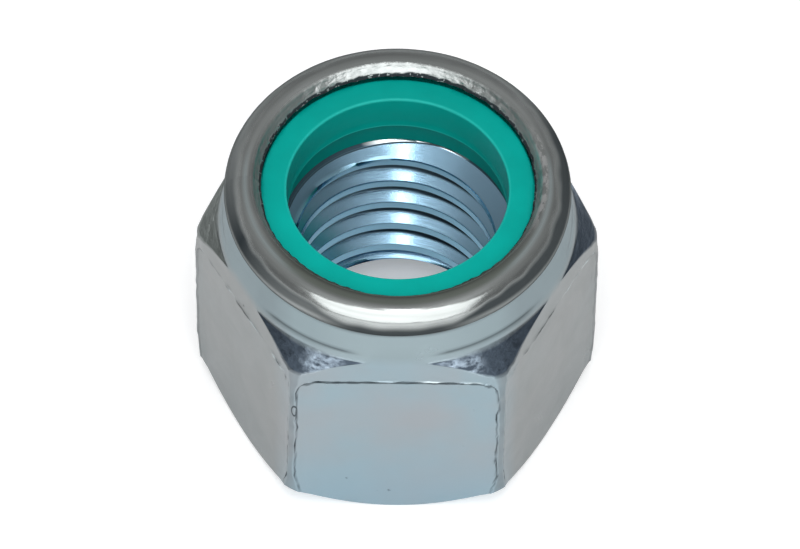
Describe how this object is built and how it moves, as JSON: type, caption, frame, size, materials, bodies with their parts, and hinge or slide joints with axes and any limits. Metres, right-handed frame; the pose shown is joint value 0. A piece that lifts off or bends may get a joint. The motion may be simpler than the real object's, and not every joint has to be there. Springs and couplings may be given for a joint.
{
  "type": "threaded nut",
  "caption": "Zinc-plated hexagon lock nut with a threaded bore and a green plastic locking ring held under a rolled steel collar.",
  "frame": {"origin": "on the bolt axis, in the plane of the flat bearing face that the nut stands on", "axes": "+Z along the bolt axis from the bearing face to the rolled collar, +X through a corner edge, -Y out of a wrench flat"},
  "size_m": [0.0218, 0.019, 0.0173],
  "materials": {
    "zinc_steel": "bright zinc plate over forged and turned steel, satin on the flats and glossy on the rolled collar",
    "green_nylon": "smooth moulded nylon-type plastic with a soft sheen"
  },
  "bodies": {
    "root": {"nut_body": "zinc_steel", "locking_insert": "green_nylon"}
  },
  "joints": []
}
